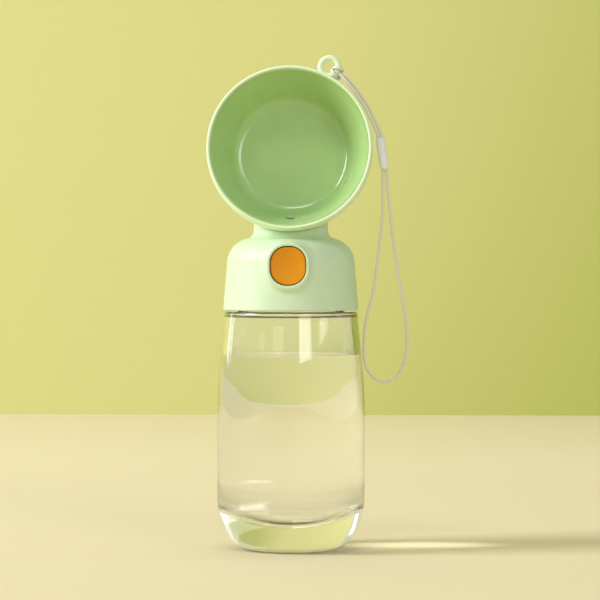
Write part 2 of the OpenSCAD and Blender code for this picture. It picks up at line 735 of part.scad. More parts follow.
module lanyard_bead() {
    axis = bead_end - bead_top;
    color(SILICONE) translate(bead_top) rotate([0, 180 - atan2(axis[0], -axis[2]), 0]) difference() {
        cylinder(d = bead_d, h = bead_l);
        translate([0, 0, -1]) linear_extrude(bead_l + 2) {
            for (x = [-0.8, 0.8]) translate([x, 0]) circle(d = cord_d + 0.3);
            square([1.6, cord_d + 0.3], center = true);
        }
    }
}

bottle_body();
mouth_seal();
thread_insert();
lid_shell();
valve_housing();
housing_gasket();
housing_screws();
water_duct();
valve_stem();
valve_plug();
plug_retainer();
stem_seal();
valve_spring();
button_cap();
button_slide();
button_spring();
bowl_shell();
bowl_liner();
lanyard_cord();
lanyard_hitch();
lanyard_bead();
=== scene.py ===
"""Looks for the dog travel water bottle.

A clear bottle of water, a mint lid with a button, a bowl and a lanyard. The sizes are in millimetres and
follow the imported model; every mesh is written in metres.
"""
import math

import bpy
import numpy as np
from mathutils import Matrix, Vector


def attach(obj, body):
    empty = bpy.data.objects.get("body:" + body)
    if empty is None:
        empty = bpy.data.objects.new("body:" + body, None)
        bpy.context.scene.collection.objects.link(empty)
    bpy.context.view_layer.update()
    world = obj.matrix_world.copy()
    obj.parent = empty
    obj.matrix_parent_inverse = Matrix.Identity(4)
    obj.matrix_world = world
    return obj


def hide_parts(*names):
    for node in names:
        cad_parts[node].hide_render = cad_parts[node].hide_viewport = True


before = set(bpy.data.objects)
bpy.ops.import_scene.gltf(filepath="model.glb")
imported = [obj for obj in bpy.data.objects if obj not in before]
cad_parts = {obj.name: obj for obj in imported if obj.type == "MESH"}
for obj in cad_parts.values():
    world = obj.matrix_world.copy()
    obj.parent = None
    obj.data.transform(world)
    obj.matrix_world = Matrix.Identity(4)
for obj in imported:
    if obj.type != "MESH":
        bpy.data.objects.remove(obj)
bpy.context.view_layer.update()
MM = 0.001

# ---------------------------------------------------------------- sizes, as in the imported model
BODY_R = 34.8
FOOT_R = 19.0
CORNER_H = 25.0
LEAN_Z = 76.0
LEAN = 0.1
LEAN_BLEND = 8.0
SHOULDER_Z = 111.8
SHOULDER_FILLET = 1.0
INNER_FILLET = 0.6
SHOULDER_T = 2.3
BODY_WALL = 3.0
BASE_T = 14.5
HOLLOW_H = 18.0
MOUTH_Z = 121.0
NECK_R = 24.5
MOUTH_R = 21.9
FOOT_HOLLOW = 0.35
WATER_Z = 91.6
WATER_GAP = 0.02
MENISCUS = 0.5

LID_Z = 112.5
LID_WALL = 1.8
LID_LEAN = math.radians(4.8)
DOME_FILLET = 12.0
DOME_Z = 134.3
SPOUT_R = 17.4
SPOUT_FILLET = 4.0
CAP_FOOT = 8.0
CAP_H = 12.0
LID_EDGE = 0.6
SEAM_GAP = 0.05
SEAM_EDGE = 0.2

BOWL_TILT = math.radians(8.2)
BOWL_FRONT = 20.0
BOWL_R = 38.7
BOWL_DEPTH = 31.0
BOWL_FILLET = 20.0
BOWL_ROUND = 26.0
BOWL_SINK = -0.3
BOWL_WALL = 1.7
LIP_R = 38.4
LIP_T = 1.5
LIP_LEN = 5.0
LINER_R = 36.85
LINER_EDGE = 0.45
LINER_DEPTH = 25.5
LINER_FILLET = 6.5
LINER_WALL = 1.2
LINER_RECESS = 0.5
LINER_LAND = 2.0
LINER_FLOOR = 22.5

BUTTON_HALF_W = 8.1
BUTTON_HALF_H = 8.8
BUTTON_CORNER = 7.4
BUTTON_Z = 133.4
BUTTON_GAP = 0.35
BOSS_WALL = 1.45
BOSS_PROUD = 0.4
BOSS_EDGE = 0.62
BOSS_BLEND = 3.2
BOSS_BACK = -12.0
HOLE_BACK = -21.0
HOLE_EDGE = 0.35
DISH_DEPTH = 0.75
DISH_POWER = 1.2
BUTTON_EDGE = 0.7

EYE_ANGLE = math.radians(25)
EYE_R = 43.2
EYE_BACK = 8.0
EYE_RING = 4.2
EYE_D = 2.8
EYE_BLEND = 1.0
EYE_REACH = 7.0
HITCH_ANGLE = math.radians(-11)
CORD_D = 1.4
BEAD_L = 14.8
BEAD_D = 4.3
DUCT_Y = 9.0
OUTLET_R = 2.4


def body_radius(z):
    t = z - LEAN_Z
    return BODY_R - LEAN * (t + np.sqrt(t * t + LEAN_BLEND * LEAN_BLEND)) / 2


HOLLOW_TOP = BASE_T + HOLLOW_H
HOLLOW_TOP_R = float(body_radius(HOLLOW_TOP)) - BODY_WALL
LID_R = float(body_radius(SHOULDER_Z)) + 0.65
DOME_R = LID_R - math.tan(LID_LEAN) * (DOME_Z - LID_Z + DOME_FILLET * math.sin(LID_LEAN)) \
    - DOME_FILLET * math.cos(LID_LEAN)
HOLLOW_R = SPOUT_R + SPOUT_FILLET
HOLLOW_Z = DOME_Z + math.sqrt((DOME_FILLET + SPOUT_FILLET) ** 2 - (HOLLOW_R - DOME_R) ** 2)
BOWL_Z = HOLLOW_Z - BOWL_SINK + BOWL_R * math.cos(BOWL_TILT)
BUTTON_Y = -(LID_R - math.tan(LID_LEAN) * (BUTTON_Z - LID_Z) + 1.5)
BOSS_Y = BUTTON_Y - BOSS_PROUD
CARRIER_Y = BUTTON_Y + 6.0

BOWL_CENTRE = np.array([0, -BOWL_FRONT, BOWL_Z])
BOWL_OUT = np.array([0, -math.cos(BOWL_TILT), math.sin(BOWL_TILT)])
BOWL_UP = np.array([0, math.sin(BOWL_TILT), math.cos(BOWL_TILT)])
BOWL_SIDE = np.array([1.0, 0, 0])
BOWL_AXES = np.array([BOWL_SIDE, BOWL_UP, BOWL_OUT])


def to_bowl(p):
    """World points in the bowl's own frame, whose z axis points out of the opening."""
    return (p - BOWL_CENTRE) @ BOWL_AXES.T


def from_bowl(p):
    return np.asarray(p, float) @ BOWL_AXES + BOWL_CENTRE


# ---------------------------------------------------------------- camera
CAMERA_FAR = 1.447
CAMERA_HIGH = 0.143
AZIMUTH = math.radians(2.4)
PITCH = math.radians(-1.023)
PAN = math.radians(0.169)


def make_camera():
    data = bpy.data.cameras.new("camera")
    data.sensor_width = 36.0
    data.lens = 184.8
    data.clip_start = 0.05
    data.clip_end = 30.0
    camera = bpy.data.objects.new("camera", data)
    bpy.context.scene.collection.objects.link(camera)
    camera.location = (CAMERA_FAR * math.sin(AZIMUTH), -CAMERA_FAR * math.cos(AZIMUTH), CAMERA_HIGH)
    turn = -AZIMUTH + PAN
    ahead = Vector((math.sin(turn) * math.cos(PITCH), math.cos(turn) * math.cos(PITCH), math.sin(PITCH)))
    camera.rotation_mode = "QUATERNION"
    camera.rotation_quaternion = ahead.to_track_quat("-Z", "Y")
    bpy.context.scene.camera = camera


make_camera()


# ---------------------------------------------------------------- materials
class Mat:
    """A node material with a Principled shader and a few helpers."""

    def __init__(self, name, **values):
        self.mat = bpy.data.materials.new(name)
        self.mat.use_nodes = True
        self.nodes = self.mat.node_tree.nodes
        self.links = self.mat.node_tree.links
        self.shader = self.nodes["Principled BSDF"]
        self.coords = None
        self.bump_end = None
        for key, value in values.items():
            self.set(key.replace("_", " "), value)

    def set(self, key, value):
        socket = self.shader.inputs[key]
        if isinstance(value, (tuple, list)) and len(value) == 3 and socket.type == "RGBA":
            value = (*value, 1.0)
        socket.default_value = value

    def where(self, scale=(1, 1, 1)):
        """Object coordinates, stretched by scale."""
        if self.coords is None:
            self.coords = self.nodes.new("ShaderNodeTexCoord")
        mapping = self.nodes.new("ShaderNodeMapping")
        mapping.inputs["Scale"].default_value = scale
        self.links.new(self.coords.outputs["Object"], mapping.inputs["Vector"])
        return mapping.outputs["Vector"]

    def noise(self, scale, detail=2.0, rough=0.5, stretch=(1, 1, 1)):
        node = self.nodes.new("ShaderNodeTexNoise")
        node.inputs["Scale"].default_value = scale
        node.inputs["Detail"].default_value = detail
        node.inputs["Roughness"].default_value = rough
        self.links.new(self.where(stretch), node.inputs["Vector"])
        return node.outputs["Fac"]

    def ramp(self, value, stops):
        """A colour ramp over value; stops are (position, colour)."""
        node = self.nodes.new("ShaderNodeValToRGB")
        marks = node.color_ramp.elements
        while len(marks) < len(stops):
            marks.new(0.5)
        for mark, (at, colour) in zip(marks, stops):
            mark.position = at
            mark.color = (*colour, 1.0) if len(colour) == 3 else colour
        self.links.new(value, node.inputs["Fac"])
        return node.outputs["Color"]

    def spread(self, value, low, high):
        """value from 0 to 1 turned into low to high."""
        node = self.nodes.new("ShaderNodeMapRange")
        node.inputs["To Min"].default_value = low
        node.inputs["To Max"].default_value = high
        self.links.new(value, node.inputs["Value"])
        return node.outputs["Result"]

    def math(self, operation, a, b):
        node = self.nodes.new("ShaderNodeMath")
        node.operation = operation
        for socket, value in zip(node.inputs, (a, b)):
            if isinstance(value, (int, float)):
                socket.default_value = value
            else:
                self.links.new(value, socket)
        return node.outputs[0]

    def bump(self, height, strength, distance):
        """Adds a bump layer on top of those already there."""
        node = self.nodes.new("ShaderNodeBump")
        node.inputs["Strength"].default_value = strength
        node.inputs["Distance"].default_value = distance
        self.links.new(height, node.inputs["Height"])
        if self.bump_end is not None:
            self.links.new(self.bump_end, node.inputs["Normal"])
        self.bump_end = node.outputs["Normal"]
        self.links.new(self.bump_end, self.shader.inputs["Normal"])

    def colour(self, source):
        self.links.new(source, self.shader.inputs["Base Color"])

    def rough(self, source):
        self.links.new(source, self.shader.inputs["Roughness"])


def srgb(r, g, b):
    """Scene colour for an 8-bit display colour."""
    def one(c):
        c = c / 255
        return c / 12.92 if c <= 0.04045 else ((c + 0.055) / 1.055) ** 2.4
    return (one(r), one(g), one(b))


GRAIN_MM = 0.35


def plastic(name, dark, light, roughness, grain=0.25, **values):
    """Moulded plastic: slow colour drift, fine grain and a slightly uneven gloss."""
    m = Mat(name, **values)
    drift = m.noise(60, 3.0, 0.6)
    m.colour(m.ramp(drift, [(0.35, dark), (0.65, light)]))
    m.rough(m.spread(m.noise(420, 4.0, 0.6), roughness - 0.04, roughness + 0.05))
    m.bump(m.noise(1000 / GRAIN_MM, 2.0, 0.6), grain, 0.00002)
    m.bump(m.noise(55, 2.0, 0.5), 0.12, 0.0002)
    return m.mat


def clear(name, ior, tint):
    """Clear plastic with faint flow lines along its height."""
    m = Mat(name, Base_Color=tint, IOR=ior, Roughness=0.0)
    m.set("Transmission Weight", 1.0)
    m.set("Coat Weight", 1.0)
    m.set("Coat Roughness", 0.02)
    m.bump(m.noise(1.0, 2.0, 0.55, (420, 420, 16)), 0.1, 0.00012)
    return m.mat


MINT = plastic("mint_plastic", srgb(203, 225, 190), srgb(208, 230, 196), 0.42)
PALE_MINT = plastic("pale_mint_plastic", srgb(220, 241, 198), srgb(225, 245, 204), 0.42)
LINER = plastic("green_liner_plastic", srgb(169, 204, 134), srgb(174, 209, 139), 0.17, grain=0.12,
                Specular_IOR_Level=0.8)
ORANGE = plastic("orange_button_plastic", srgb(219, 140, 1), srgb(224, 147, 2), 0.45, Specular_IOR_Level=0.35)
WHITE = plastic("white_plastic", srgb(226, 228, 222), srgb(233, 234, 229), 0.4)
SILICONE = plastic("silicone_rubber", srgb(212, 216, 211), srgb(220, 223, 218), 0.6, grain=0.4)
BEAD = plastic("bead_plastic", srgb(228, 233, 236), srgb(235, 239, 242), 0.42)
CLEAR = clear("clear_plastic", 1.5, (0.985, 0.995, 0.98))

# How much light bends at the wall that water lies against, by height in millimetres
WET_BEND = [(0, 1.03), (18, 1.032), (32, 1.06), (50, 1.13), (66, 1.215),
            (70, 1.252), (74, 1.29), (78, 1.322), (81, 1.338), (85, 1.34), (100, 1.34)]


def wet_material():
    """The wall where water lies against it: light bends less and less towards the rounded floor."""
    mat = clear("clear_plastic_wet", 1.125, (1.0, 1.0, 1.0))
    nodes, links = mat.node_tree.nodes, mat.node_tree.links
    place = nodes.new("ShaderNodeTexCoord")
    parts = nodes.new("ShaderNodeSeparateXYZ")
    height = nodes.new("ShaderNodeMapRange")
    height.inputs["From Max"].default_value = WET_BEND[-1][0] * MM
    bend = nodes.new("ShaderNodeFloatCurve")
    curve = bend.mapping.curves[0]
    top = WET_BEND[-1][0]
    for z, ior in WET_BEND[1:-1]:
        curve.points.new(z / top, ior - 1)
    for mark, (z, ior) in zip(curve.points, WET_BEND):
        mark.location = (z / top, ior - 1)
    bend.mapping.update()
    add = nodes.new("ShaderNodeMath")
    add.inputs[1].default_value = 1.0
    links.new(place.outputs["Object"], parts.inputs["Vector"])
    links.new(parts.outputs["Z"], height.inputs["Value"])
    links.new(height.outputs["Result"], bend.inputs["Value"])
    links.new(bend.outputs["Value"], add.inputs[0])
    links.new(add.outputs[0], nodes["Principled BSDF"].inputs["IOR"])
    return mat


CLEAR_WET = wet_material()


def steel_material():
    m = Mat("spring_steel", Metallic=1.0)
    m.colour(m.ramp(m.noise(300, 3.0), [(0.3, (0.52, 0.52, 0.53)), (0.7, (0.64, 0.64, 0.65))]))
    m.rough(m.spread(m.noise(900, 3.0, 0.6, (1, 1, 8)), 0.2, 0.36))
    m.bump(m.noise(2500, 2.0, 0.5, (1, 1, 6)), 0.2, 0.00001)
    return m.mat


STEEL = steel_material()


def cord_material():
    """Polyester cord: pale threads with fine fibre grain, and painted shade where the bump is low, between
    the threads.
    """
    m = Mat("braided_cord")
    m.set("Sheen Weight", 0.35)
    m.set("Sheen Roughness", 0.4)
    fibre_and_shade = m.noise(5200, 3.0, 0.6, (1, 1, 0.5))
    # fine fibre grain plus painted shade: the low places of the bump are painted darker
    m.colour(m.ramp(fibre_and_shade, [(0.3, srgb(214, 208, 190)), (0.7, srgb(236, 232, 219))]))
    m.rough(m.spread(m.noise(2600, 2.0), 0.62, 0.8))
    m.bump(fibre_and_shade, 0.35, 0.00005)
    return m.mat


CORD = cord_material()


def water_material():
    m = Mat("water", Base_Color=(0.985, 0.995, 0.985), IOR=1.333, Roughness=0.0)
    m.set("Transmission Weight", 1.0)
    m.bump(m.noise(60, 2.0), 0.02, 0.0002)
    return m.mat


def water_side_material():
    """Where the water lies against the wall the bend of light is the wall's own."""
    m = Mat("water_against_wall", Base_Color=(1, 1, 1), IOR=1.0, Roughness=0.0)
    m.set("Transmission Weight", 1.0)
    m.set("Specular IOR Level", 0.0)
    return m.mat


# ---------------------------------------------------------------- meshes
def add_mesh(name, points, faces, mats, face_mats=None, normals=None):
    """A smooth mesh object from points in millimetres."""
    mesh = bpy.data.meshes.new(name)
    points = np.asarray(points, float) * MM
    if isinstance(faces, np.ndarray):
        mesh.vertices.add(len(points))
        mesh.vertices.foreach_set("co", points.astype(np.float32).ravel())
        k = faces.shape[1]
        mesh.loops.add(faces.size)
        mesh.loops.foreach_set("vertex_index", faces.astype(np.int32).ravel())
        mesh.polygons.add(len(faces))
        mesh.polygons.foreach_set("loop_start", np.arange(0, faces.size, k, dtype=np.int32))
        mesh.update(calc_edges=True)
    else:
        mesh.from_pydata([tuple(p) for p in points], [], faces)
        mesh.update()
    for mat in mats:
        mesh.materials.append(mat)
    if face_mats is not None:
        mesh.polygons.foreach_set("material_index", np.asarray(face_mats, np.int32))
    mesh.polygons.foreach_set("use_smooth", np.full(len(mesh.polygons), True))
    mesh.validate()
    if normals is not None:
        mesh.normals_split_custom_set_from_vertices([tuple(n) for n in normals])
    obj = bpy.data.objects.new(name, mesh)
    bpy.context.scene.collection.objects.link(obj)
    return obj


PROBE = 0.02


def gradient(field, p):
    g = np.empty_like(p)
    for i in range(3):
        step = np.zeros(3)
        step[i] = PROBE
        g[:, i] = (field(p + step) - field(p - step)) / (2 * PROBE)
    return g


def skin(name, field, low, high, cell, mats, turn=None):
    """Closed mesh of the space where field is negative: surface nets, with the points moved onto the surface.

    field takes points in millimetres; turn moves the finished points, as from the bowl's frame.
    """
    low, high = np.asarray(low, float), np.asarray(high, float)
    n = np.ceil((high - low) / cell).astype(int) + 1
    ticks = [low[i] + cell * np.arange(n[i]) for i in range(3)]
    grid = np.stack(np.meshgrid(*ticks, indexing="ij"), -1)
    f = field(grid.reshape(-1, 3)).reshape(n)
    cells = tuple(n - 1)
    total = np.zeros((*cells, 3))
    count = np.zeros(cells)
    edges = []
    for axis in range(3):
        a = np.take(f, np.arange(n[axis] - 1), axis)
        b = np.take(f, np.arange(1, n[axis]), axis)
        cross = (a < 0) != (b < 0)
        share = np.where(cross, a / np.where(cross, a - b, 1.0), 0.0)
        start = np.take(grid, np.arange(n[axis] - 1), axis).copy()
        start[..., axis] += share * cell
        u, v = [i for i in range(3) if i != axis]
        for du in (0, 1):
            for dv in (0, 1):
                cut = [slice(None)] * 3
                cut[u] = slice(du, du + n[u] - 1)
                cut[v] = slice(dv, dv + n[v] - 1)
                cut = tuple(cut)
                total += start[cut] * cross[cut][..., None]
                count += cross[cut]
        edges.append((axis, u, v, cross, a < 0))
    active = count > 0
    index = np.full(cells, -1)
    index[active] = np.arange(active.sum())
    points = total[active] / count[active][:, None]
    faces = []
    for axis, u, v, cross, inward in edges:
        inner = [slice(None)] * 3
        inner[u] = slice(1, n[u] - 1)
        inner[v] = slice(1, n[v] - 1)
        where = np.argwhere(cross[tuple(inner)])
        where[:, u] += 1
        where[:, v] += 1
        corners = []
        for du, dv in ((1, 1), (0, 1), (0, 0), (1, 0)):
            at = where.copy()
            at[:, u] -= du
            at[:, v] -= dv
            corners.append(index[at[:, 0], at[:, 1], at[:, 2]])
        quad = np.stack(corners, 1)
        out = inward[where[:, 0], where[:, 1], where[:, 2]]
        if axis == 1:
            out = ~out
        quad[~out] = quad[~out][:, ::-1]
        faces.append(quad)
    faces = np.concatenate(faces)
    for _ in range(4):
        g = gradient(field, points)
        size = np.maximum((g * g).sum(1), 0.05)
        step = g * (field(points) / size)[:, None]
        length = np.linalg.norm(step, axis=1)
        step *= np.minimum(1.0, 0.5 * cell / np.maximum(length, 1e-9))[:, None]
        points = points - step
    normals = gradient(field, points)
    normals /= np.maximum(np.linalg.norm(normals, axis=1), 1e-9)[:, None]
    if turn is not None:
        moved = turn(points)
        normals = turn(points + normals) - moved
        points = moved
    return add_mesh(name, points, faces, mats, normals=normals)


def spin(name, profile, mats, segments, turn=None, rings=None):
    """Closed mesh of an outline of (radius, height) turned round the z axis, from its lower end outward.

    rings gives each band's material.
    """
    profile = np.asarray(profile, float)
    angle = np.arange(segments) * 2 * math.pi / segments
    points, starts = [], []
    for r, z in profile:
        starts.append(len(points))
        if r < 1e-6:
            points.append((0, 0, z))
        else:
            points.extend(zip(r * np.cos(angle), r * np.sin(angle), np.full(segments, z)))
    faces, face_mats = [], []
    for k in range(len(profile) - 1):
        one, two = profile[k][0] < 1e-6, profile[k + 1][0] < 1e-6
        band = rings[k] if rings is not None else 0
        for i in range(segments):
            j = (i + 1) % segments
            a, b = starts[k], starts[k + 1]
            if one and two:
                continue
            if one:
                faces.append((a, b + j, b + i))
            elif two:
                faces.append((a + i, a + j, b))
            else:
                faces.append((a + i, a + j, b + j, b + i))
            face_mats.append(band)
    points = np.array(points)
    if turn is not None:
        points = turn(points)
    return add_mesh(name, points, faces, mats, face_mats=face_mats)


def arc(x, y, rx, ry, a, b, n):
    """n + 1 points of an ellipse's arc, from angle a to b in degrees."""
    t = np.radians(np.linspace(a, b, n + 1))
    return list(zip(x + rx * np.cos(t), y + ry * np.sin(t)))


# ---------------------------------------------------------------- distance fields, in millimetres
def union_round(a, b, r):
    """The union of two fields, with a fillet of radius r."""
    u = np.hypot(np.maximum(r - a, 0), np.maximum(r - b, 0))
    return np.maximum(r, np.minimum(a, b)) - u


def meet_round(a, b, r):
    """What two fields share, with an edge rounded to radius r."""
    u = np.hypot(np.maximum(r + a, 0), np.maximum(r + b, 0))
    return np.minimum(-r, np.maximum(a, b)) + u


def cut_round(a, b, r):
    """Field a less field b, with a rounded edge."""
    return meet_round(a, -b, r)


def oval_away(x, y, rx, ry):
    """Distance to a straight side at rx that ends above y = 0 in a quarter of an ellipse ry high."""
    u, v = np.maximum(x, 0) / rx, np.maximum(y, 0) / ry
    far, slope = np.hypot(u, v), np.hypot(u / rx, v / ry)
    return np.where(slope > 1e-9, far * (far - 1) / np.maximum(slope, 1e-9), -min(rx, ry))


def lid_dome(p):
    """Distance to the lid's turned surface: leaning side, rounded edge, hollow and neck."""
    r, z = np.hypot(p[:, 0], p[:, 1]), p[:, 2]
    c, s = math.cos(LID_LEAN), math.sin(LID_LEAN)
    side = (r - LID_R) * c + (z - LID_Z) * s
    round_edge = np.hypot(r - DOME_R, z - DOME_Z) - DOME_FILLET
    hollow = SPOUT_FILLET - np.hypot(r - HOLLOW_R, z - HOLLOW_Z)
    neck = oval_away(r, z - (HOLLOW_Z + CAP_FOOT), SPOUT_R, CAP_H)
    low = -(r - DOME_R) * s + (z - DOME_Z) * c < 0
    way = math.atan2(HOLLOW_Z - DOME_Z, HOLLOW_R - DOME_R)
    edge = -(r - DOME_R) * math.sin(way) + (z - DOME_Z) * math.cos(way) < 0
    return np.where(low, side, np.where(edge, round_edge, np.where(z < HOLLOW_Z, hollow, neck)))


def button_outline(x, z, grow):
    """Distance to the button's outline, grown."""
    qx = np.abs(x) - (BUTTON_HALF_W - BUTTON_CORNER)
    qz = np.abs(z - BUTTON_Z) - (BUTTON_HALF_H - BUTTON_CORNER)
    away = np.hypot(np.maximum(qx, 0), np.maximum(qz, 0)) + np.minimum(np.maximum(qx, qz), 0)
    return away - BUTTON_CORNER - grow


def bowl_side(r, z):
    """Distance to the bowl as a solid body, in its own frame."""
    return oval_away(r - (BOWL_R - BOWL_FILLET), BOWL_ROUND - BOWL_DEPTH - z, BOWL_FILLET, BOWL_ROUND)


def bowl_body(p):
    q = to_bowl(p)
    return bowl_side(np.hypot(q[:, 0], q[:, 1]), q[:, 2])


def lid_field(p):
    x, y, z = p.T
    dome = lid_dome(p)
    rim = button_outline(x, z, BUTTON_GAP + BOSS_WALL)
    boss = meet_round(rim, BOSS_Y - y, BOSS_EDGE)
    f = union_round(dome, np.maximum(boss, y - BOSS_BACK), BOSS_BLEND)
    tube = np.maximum(rim, np.maximum(BOSS_Y - y, y - CARRIER_Y))
    hollow = np.maximum(dome + LID_WALL, -tube)
    f = np.maximum(f, -hollow)
    f = cut_round(f, np.maximum(button_outline(x, z, BUTTON_GAP), y - HOLE_BACK), HOLE_EDGE)
    f = meet_round(f, LID_Z - z, LID_EDGE)
    return cut_round(f, bowl_body(p) - SEAM_GAP, SEAM_EDGE)


def button_field(p):
    """The cap: a shallow dish with a rounded edge."""
    x, y, z = p.T
    side = button_outline(x, z, 0)
    across = np.clip((x / BUTTON_HALF_W) ** 2 + ((z - BUTTON_Z) / BUTTON_HALF_H) ** 2, 0, 1)
    face = BUTTON_Y + DISH_DEPTH * (1 - across) ** DISH_POWER
    return meet_round(meet_round(side, face - y, BUTTON_EDGE), y - CARRIER_Y, 0.2)


def eye_field(p):
    """The lanyard's eye in the bowl's frame, with a fillet where it meets the bowl's side."""
    x, y, z = p.T
    c, s = math.cos(EYE_ANGLE), math.sin(EYE_ANGLE)
    u = x * c - y * s
    v = x * s + y * c - EYE_R
    ring = np.hypot(np.hypot(u, v) - EYE_RING, z + EYE_BACK) - EYE_D / 2
    wall = bowl_side(np.hypot(x, y), z) + 0.04 + (BOWL_R - LIP_R) * np.clip(z / LIP_LEN + 1, 0, 1)
    f = union_round(ring, wall, EYE_BLEND)
    near = np.hypot(np.hypot(u, v), z + EYE_BACK) - EYE_REACH
    return np.maximum(np.maximum(f, -1.0 - wall), near)


# ---------------------------------------------------------------- the cord
CORD_ROUTE = [
    (23.4, -8.6, 222.4), (25.6, -9.2, 220), (30, -9.6, 214.4), (34.7, -9.6, 207.5), (38.2, -9.4, 200.4),
    (40.4, -9.1, 195.8), (41.1, -9, 192.9), (42.2, -9, 185.6), (43.2, -9, 178.3), (43.2, -9, 172),
    (43.2, -9, 162), (42.8, -9, 152), (41.6, -9, 142), (40.4, -9, 132), (38.8, -9, 121), (36.7, -9, 113),
    (35.1, -9, 105), (34.5, -9, 97), (34.7, -9, 90), (36.1, -9, 85), (39.4, -9, 81), (43.9, -9, 79.1),
    (48.1, -9, 80.2), (51.1, -9, 83.3), (53.2, -9, 87.8), (54.4, -9, 94), (54.6, -9, 102), (53.8, -9, 110),
    (52.2, -9, 119), (50.6, -9, 128), (49.2, -9, 138), (47.8, -9, 148), (46.7, -9, 158), (45.6, -9, 168),
    (44.8, -9, 178.5), (43.8, -9, 185.8), (42.7, -9, 193.1), (41.8, -8.9, 196.4), (39.8, -8.4, 200.9),
    (36.2, -8.2, 208.2), (31.2, -8.1, 215.4), (26.8, -7.8, 220.9), (24.8, -7.3, 223)]


def halve(points):
    """The points with one more between each two, on a smooth line."""
    made = []
    n = len(points)
    for i in range(2 * n - 1):
        k = i // 2
        if i % 2 == 0:
            made.append(points[k])
        else:
            inner = 9 * (points[k] + points[k + 1])
            made.append((inner - points[max(k - 1, 0)] - points[min(k + 2, n - 1)]) / 16)
    return np.array(made)


def even(points, step):
    """Points every step along a line."""
    along = np.concatenate([[0], np.cumsum(np.linalg.norm(np.diff(points, axis=0), axis=1))])
    at = np.linspace(0, along[-1], max(2, int(round(along[-1] / step))) + 1)
    return np.stack([np.interp(at, along, points[:, i]) for i in range(3)], 1), at


def sweep(points, along, radius, sides, up=(0, 1, 0)):
    """Points and faces of a closed tube; radius(angle, along) gives its section."""
    n = len(points)
    ahead = np.gradient(points, axis=0)
    ahead /= np.linalg.norm(ahead, axis=1)[:, None]
    side = np.cross(np.asarray(up, float), ahead)
    side /= np.linalg.norm(side, axis=1)[:, None]
    over = np.cross(ahead, side)
    t = np.arange(sides) * 2 * math.pi / sides
    r = radius(t[None, :], along[:, None]) * np.ones((n, sides))
    rings = points[:, None, :] + r[..., None] * (
        np.cos(t)[None, :, None] * side[:, None, :] + np.sin(t)[None, :, None] * over[:, None, :])
    verts = rings.reshape(-1, 3)
    i, j = np.meshgrid(np.arange(n - 1), np.arange(sides), indexing="ij")
    k = (j + 1) % sides
    quads = np.stack([i * sides + j, i * sides + k, (i + 1) * sides + k, (i + 1) * sides + j], -1)
    faces = [tuple(q) for q in quads.reshape(-1, 4).tolist()]
    faces.append(tuple(range(sides - 1, -1, -1)))
    faces.append(tuple((n - 1) * sides + j for j in range(sides)))
    return verts, faces


# Length over which a thread of the braid turns a quarter round the cord
BRAID = 1.9
KNOT_STEP = 0.2
KNOT_SIDES = 20


def braid(angle, along):
    """Section of a round braid of eight threads."""
    turn = 2 * math.pi * along / (4 * BRAID)
    a = np.abs(np.sin(4 * (angle / 2 + turn)))
    b = np.abs(np.sin(4 * (angle / 2 - turn)))
    return CORD_D / 2 * (0.9 + 0.1 * np.maximum(a, b))


def make_cord():
    route = halve(np.array(CORD_ROUTE, float))
    fine = halve(halve(route))
    points, along = even(fine, 0.24)
    verts, faces = sweep(points, along, braid, 24)
    cord = add_mesh("lanyard_braid", verts, faces, [CORD])
    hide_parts("lanyard_cord")
    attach(cord, "lid")
    return cord, route


def make_hitch():
    """The cow hitch round the eye: two turns side by side, the bridge that they pass under, and two tails."""
    pieces = []
    reach = EYE_D / 2 + CORD_D / 2 + 0.02

    def ring_point(angle, turn, lift=0.0):
        """A point round the eye's section at angle along the ring."""
        out = EYE_RING + (reach + lift) * math.cos(turn)
        u, v, w = out * math.cos(angle), out * math.sin(angle), (reach + lift) * math.sin(turn)
        c, s = math.cos(EYE_ANGLE), math.sin(EYE_ANGLE)
        x = EYE_R * s + u * c + v * s
        y = EYE_R * c - u * s + v * c
        return from_bowl([x, y, -EYE_BACK + w])

    for side in (-1, 1):
        line = [ring_point(HITCH_ANGLE + side * 0.38, math.radians(t)) for t in np.linspace(-60, 330, 60)]
        points, along = even(np.array(line), KNOT_STEP)
        pieces.append(sweep(points, along, braid, KNOT_SIDES, up=(0.35, 0.1, 0.93)))
    for side, end in ((-1, 0), (1, -1)):
        start = ring_point(HITCH_ANGLE + side * 0.16, math.radians(-20), 0.2)
        stop = np.array(CORD_ROUTE[end], float)
        ahead = np.array(CORD_ROUTE[1 if end == 0 else -2], float)
        stop = stop + (ahead - stop) / np.linalg.norm(ahead - stop) * 0.5
        line = np.array([start, start + (stop - start) * 0.45 + (0.1, -0.25, 0.15), stop])
        points, along = even(halve(halve(line)), KNOT_STEP)
        pieces.append(sweep(points, along, braid, KNOT_SIDES))
    bridge = []
    for s in np.linspace(-1, 1, 30):
        bridge.append(ring_point(HITCH_ANGLE + 0.5 * s, math.radians(-38), 0.85 * (1 - s * s) + 0.35))
    points, along = even(np.array(bridge), KNOT_STEP)
    pieces.append(sweep(points, along, braid, KNOT_SIDES))
    all_points, all_faces, base = [], [], 0
    for verts, faces in pieces:
        all_points.append(verts)
        all_faces += [tuple(i + base for i in f) for f in faces]
        base += len(verts)
    hitch = add_mesh("lanyard_knot", np.concatenate(all_points), all_faces, [CORD])
    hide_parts("lanyard_hitch")
    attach(hitch, "lid")
    return hitch


